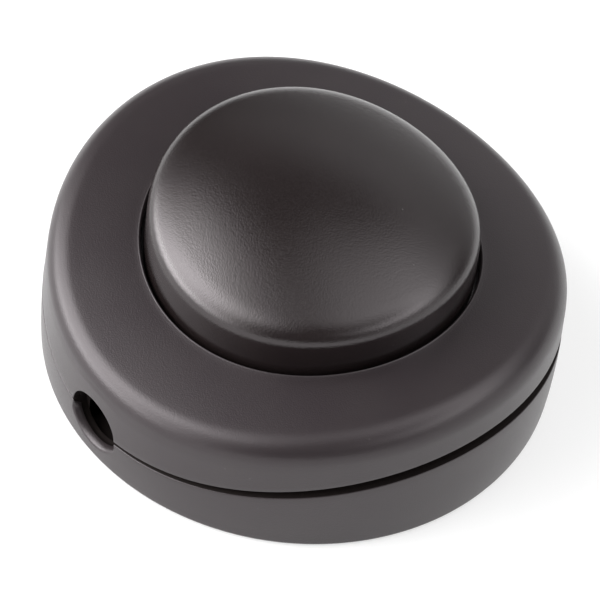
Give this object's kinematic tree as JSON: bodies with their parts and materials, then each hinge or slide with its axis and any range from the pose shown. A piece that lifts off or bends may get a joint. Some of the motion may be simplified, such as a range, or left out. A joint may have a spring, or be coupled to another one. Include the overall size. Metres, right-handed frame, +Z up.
{
  "type": "foot switch",
  "caption": "Round in-line foot switch for a lamp lead: arched two-part black housing, cord inlets at both ends, large domed push button over a push-to-turn mechanism.",
  "frame": {"origin": "on the floor, under the middle of the button", "axes": "+Z up, +X along the cord from one inlet to the other, +Y along the ridge of the arched top"},
  "size_m": [0.0678, 0.068, 0.032],
  "materials": {
    "housing_plastic": "fine satin grain",
    "button_plastic": "fine satin grain",
    "white_nylon": "natural",
    "red_nylon": "natural",
    "brown_phenolic": "moulded",
    "brass": "stamped",
    "spring_steel": "drawn",
    "plated_steel": "zinc plated"
  },
  "bodies": {
    "housing": {"base_housing": "housing_plastic", "cover_housing": "housing_plastic", "return_spring": "spring_steel", "pivot_pin": "spring_steel", "mechanism_frame": "brown_phenolic", "detent_spring": "spring_steel", "contact_blade_in": "brass", "contact_blade_out": "brass", "live_terminal_in": "brass", "live_terminal_out": "brass", "neutral_link": "brass", "cord_clamp_in": "white_nylon", "cord_clamp_out": "white_nylon", "terminal_screws": "plated_steel", "clamp_screws": "plated_steel", "frame_screws": "plated_steel", "housing_screws": "plated_steel"},
    "button": {"push_button": "button_plastic", "plunger": "white_nylon"},
    "rotor": {"ratchet_rotor": "white_nylon"},
    "wheel": {"contact_wheel": "red_nylon", "contact_bridge": "brass"}
  },
  "joints": [
    {"name": "button_press", "type": "slide", "parent": "housing", "child": "button", "axis": [0, 0, -1], "range_m": [0, 0.004], "stiffness_N_per_m": 2000, "springref_m": -0.0004, "deforming": ["return_spring"]},
    {"name": "rotor_turn", "type": "hinge", "parent": "housing", "child": "rotor", "pos_m": [0, 0, 0.0083], "axis": [0, 0, 1], "range_deg": [0, 45]},
    {"name": "wheel_turn", "type": "hinge", "parent": "housing", "child": "wheel", "pos_m": [0, 0, 0.0053], "axis": [0, 0, 1], "continuous": true}
  ],
  "couplings": [
    {"joint": "rotor_turn", "follows": "button_press", "rad_per_m": 196.3}
  ]
}
